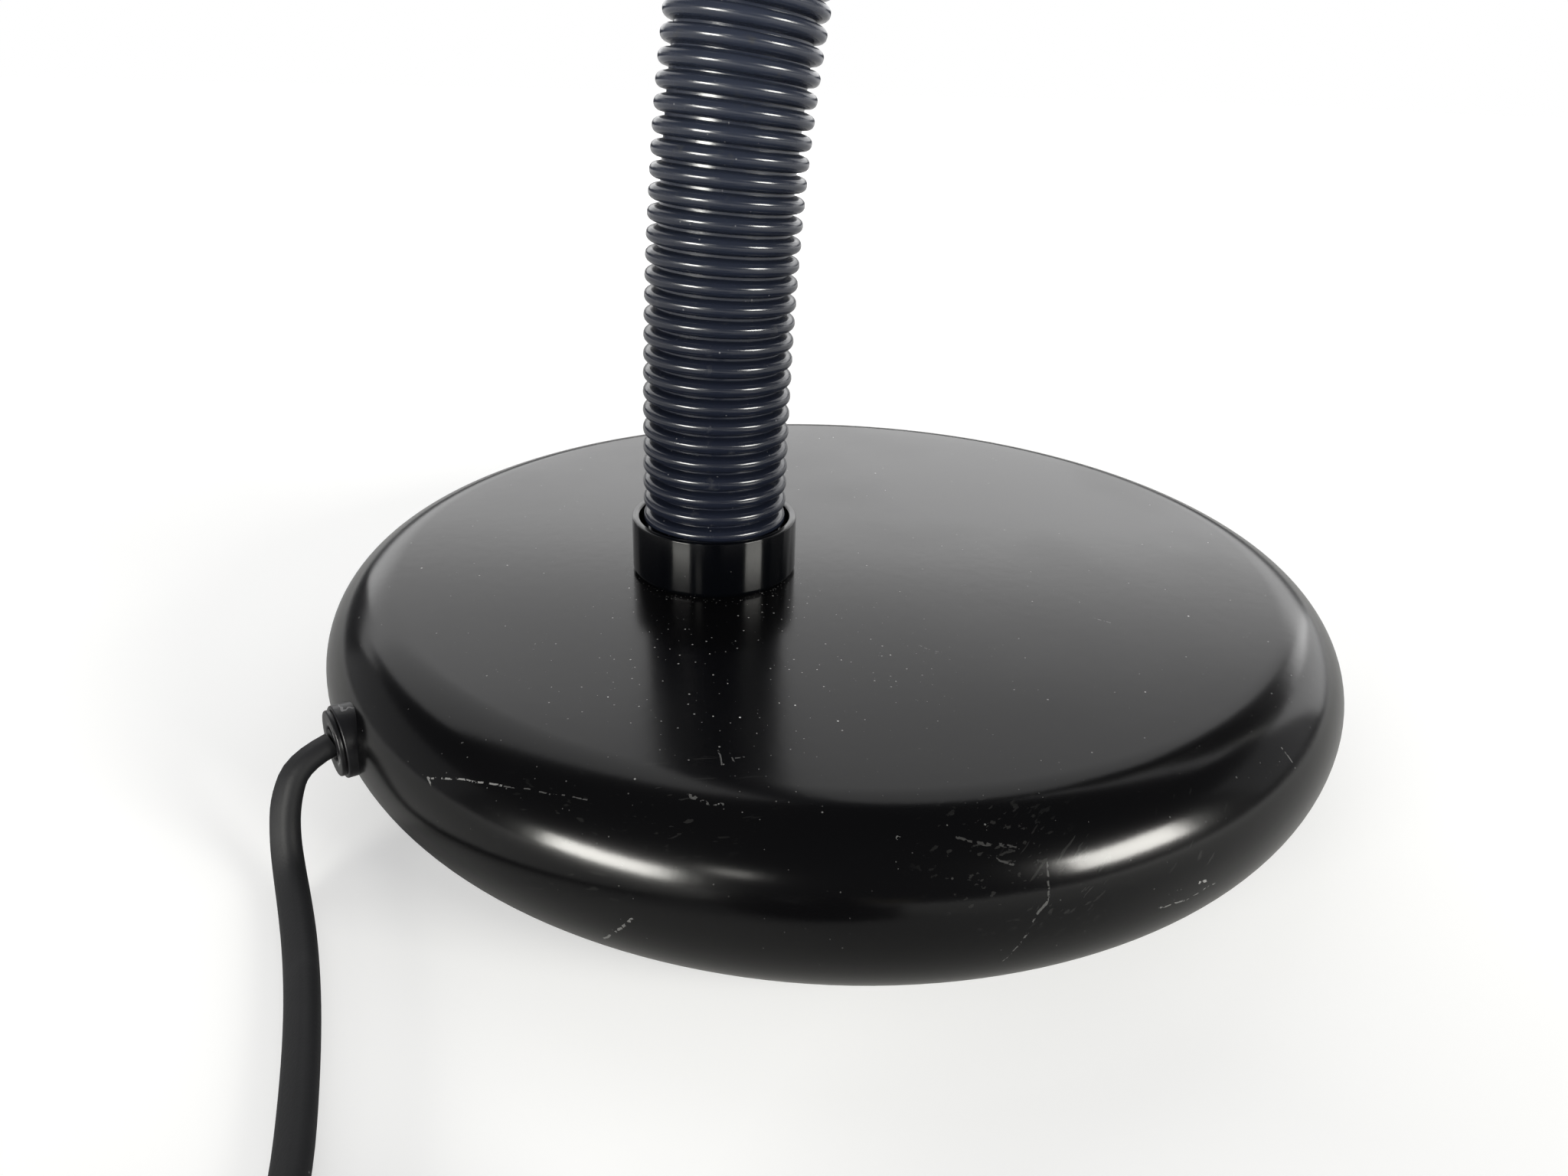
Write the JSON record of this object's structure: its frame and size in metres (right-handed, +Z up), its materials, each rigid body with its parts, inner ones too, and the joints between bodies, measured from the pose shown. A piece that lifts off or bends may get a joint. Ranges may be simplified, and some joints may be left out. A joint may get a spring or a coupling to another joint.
{
  "type": "gooseneck desk lamp",
  "caption": "Desk lamp with a heavy round foot, a ribbed gooseneck that bends forward and sideways, a bell shade with a side switch, and a two-blade mains cord.",
  "frame": {"origin": "centre of the foot's resting face", "axes": "+Z up from the resting face, +X to the front, the way the neck bends over"},
  "size_m": [0.4289, 0.2665, 0.2792],
  "materials": {
    "base_paint": "semi-gloss black paint",
    "cast_iron": "rough cast",
    "cover_paint": "satin black paint",
    "felt": "felt",
    "plated_steel": "zinc plated",
    "collar_paint": "gloss black paint",
    "black_nylon": "moulded nylon",
    "cord_jacket": "soft black cord jacket",
    "plug_moulding": "soft moulded plug",
    "blade_metal": "plated blades",
    "sleeve_vinyl": "soft ribbed sleeve",
    "core_steel": "wound wire",
    "shade_paint": "semi-gloss black outside, white inside",
    "phenolic": "phenolic",
    "thin_aluminium": "pressed",
    "brass": "bare",
    "switch_plastic": "moulded",
    "frosted_glass": "frosted",
    "clear_glass": "clear",
    "turned_steel": "turned",
    "knob_plastic": "moulded"
  },
  "bodies": {
    "base": {"base_shell": "base_paint", "base_weight": "cast_iron", "base_cover": "cover_paint", "base_felt": "felt", "cover_screws": "plated_steel", "neck_collar": "collar_paint", "neck_ferrule": "plated_steel", "ferrule_washer": "plated_steel", "ferrule_nut": "plated_steel", "strain_relief": "black_nylon", "base_lead": "cord_jacket", "mains_cord": "cord_jacket", "cord_coil": "cord_jacket", "cord_tie": "black_nylon", "plug_body": "plug_moulding", "plug_blades": "blade_metal", "sleeve_foot": "sleeve_vinyl"},
    "link_01": {"sleeve_link_01": "sleeve_vinyl", "core_link_01": "core_steel"},
    "link_02": {"sleeve_link_02": "sleeve_vinyl", "core_link_02": "core_steel", "neck_lead_1": "cord_jacket"},
    "link_03": {"sleeve_link_03": "sleeve_vinyl", "core_link_03": "core_steel"},
    "link_04": {"sleeve_link_04": "sleeve_vinyl", "core_link_04": "core_steel", "neck_lead_2": "cord_jacket"},
    "link_05": {"sleeve_link_05": "sleeve_vinyl", "core_link_05": "core_steel"},
    "link_06": {"sleeve_link_06": "sleeve_vinyl", "core_link_06": "core_steel", "neck_lead_3": "cord_jacket"},
    "link_07": {"sleeve_link_07": "sleeve_vinyl", "core_link_07": "core_steel"},
    "link_08": {"sleeve_link_08": "sleeve_vinyl", "core_link_08": "core_steel", "neck_lead_4": "cord_jacket"},
    "link_09": {"sleeve_link_09": "sleeve_vinyl", "core_link_09": "core_steel"},
    "link_10": {"sleeve_link_10": "sleeve_vinyl", "core_link_10": "core_steel", "neck_lead_5": "cord_jacket"},
    "head": {"sleeve_tip": "sleeve_vinyl", "head_collar": "collar_paint", "head_ferrule": "plated_steel", "head_washer": "plated_steel", "head_nut": "plated_steel", "shade": "shade_paint", "lampholder_body": "phenolic", "lampholder_shell": "thin_aluminium", "lampholder_contact": "brass", "switch_body": "switch_plastic", "switch_nut": "brass", "bulb_glass": "frosted_glass", "bulb_cap": "thin_aluminium", "bulb_contact": "brass", "bulb_stem": "clear_glass", "head_lead": "cord_jacket"},
    "knob": {"switch_shaft": "turned_steel", "switch_knob": "knob_plastic"}
  },
  "joints": [
    {"name": "neck_lower_bend", "type": "hinge", "parent": "base", "child": "link_01", "pos_m": [-0.02278, 0, 0.051], "axis": [0, 1, 0], "range_deg": [-13, 3]},
    {"name": "neck_side_bend", "type": "hinge", "parent": "link_01", "child": "link_02", "pos_m": [-0.02171, 0, 0.07938], "axis": [0.9981, 0, -0.0621], "range_deg": [-15, 15]},
    {"name": "neck_lower_bend_2", "type": "hinge", "parent": "link_02", "child": "link_03", "pos_m": [-0.01905, 0, 0.10765], "axis": [0, 1, 0], "range_deg": [-13, 3]},
    {"name": "neck_lower_bend_3", "type": "hinge", "parent": "link_03", "child": "link_04", "pos_m": [-0.01405, 0, 0.13559], "axis": [0, 1, 0], "range_deg": [-13, 3]},
    {"name": "neck_side_bend_2", "type": "hinge", "parent": "link_04", "child": "link_05", "pos_m": [-0.00601, 0, 0.16281], "axis": [0.9387, 0, -0.3448], "range_deg": [-15, 15]},
    {"name": "neck_lower_bend_4", "type": "hinge", "parent": "link_05", "child": "link_06", "pos_m": [0.00565, 0, 0.18868], "axis": [0, 1, 0], "range_deg": [-13, 3]},
    {"name": "neck_upper_bend", "type": "hinge", "parent": "link_06", "child": "link_07", "pos_m": [0.02136, 0, 0.21229], "axis": [0, 1, 0], "range_deg": [-20, 3]},
    {"name": "neck_upper_bend_2", "type": "hinge", "parent": "link_07", "child": "link_08", "pos_m": [0.04122, 0, 0.23252], "axis": [0, 1, 0], "range_deg": [-20, 3]},
    {"name": "neck_side_bend_3", "type": "hinge", "parent": "link_08", "child": "link_09", "pos_m": [0.06496, 0, 0.248], "axis": [0.4437, 0, -0.8962], "range_deg": [-15, 15]},
    {"name": "neck_upper_bend_3", "type": "hinge", "parent": "link_09", "child": "link_10", "pos_m": [0.09171, 0, 0.25731], "axis": [0, 1, 0], "range_deg": [-20, 3]},
    {"name": "neck_upper_bend_4", "type": "hinge", "parent": "link_10", "child": "head", "pos_m": [0.11996, 0, 0.25915], "axis": [0, 1, 0], "range_deg": [-20, 3]},
    {"name": "switch_turn", "type": "hinge", "parent": "head", "child": "knob", "pos_m": [0.18725, 0, 0.26812], "axis": [0.4348, 0, 0.9005], "continuous": true}
  ],
  "couplings": [
    {"joint": "neck_lower_bend_2", "follows": "neck_lower_bend", "ratio": 1},
    {"joint": "neck_lower_bend_3", "follows": "neck_lower_bend", "ratio": 1},
    {"joint": "neck_side_bend_2", "follows": "neck_side_bend", "ratio": 1},
    {"joint": "neck_lower_bend_4", "follows": "neck_lower_bend", "ratio": 1},
    {"joint": "neck_upper_bend_2", "follows": "neck_upper_bend", "ratio": 1},
    {"joint": "neck_side_bend_3", "follows": "neck_side_bend", "ratio": 1},
    {"joint": "neck_upper_bend_3", "follows": "neck_upper_bend", "ratio": 1},
    {"joint": "neck_upper_bend_4", "follows": "neck_upper_bend", "ratio": 1}
  ]
}
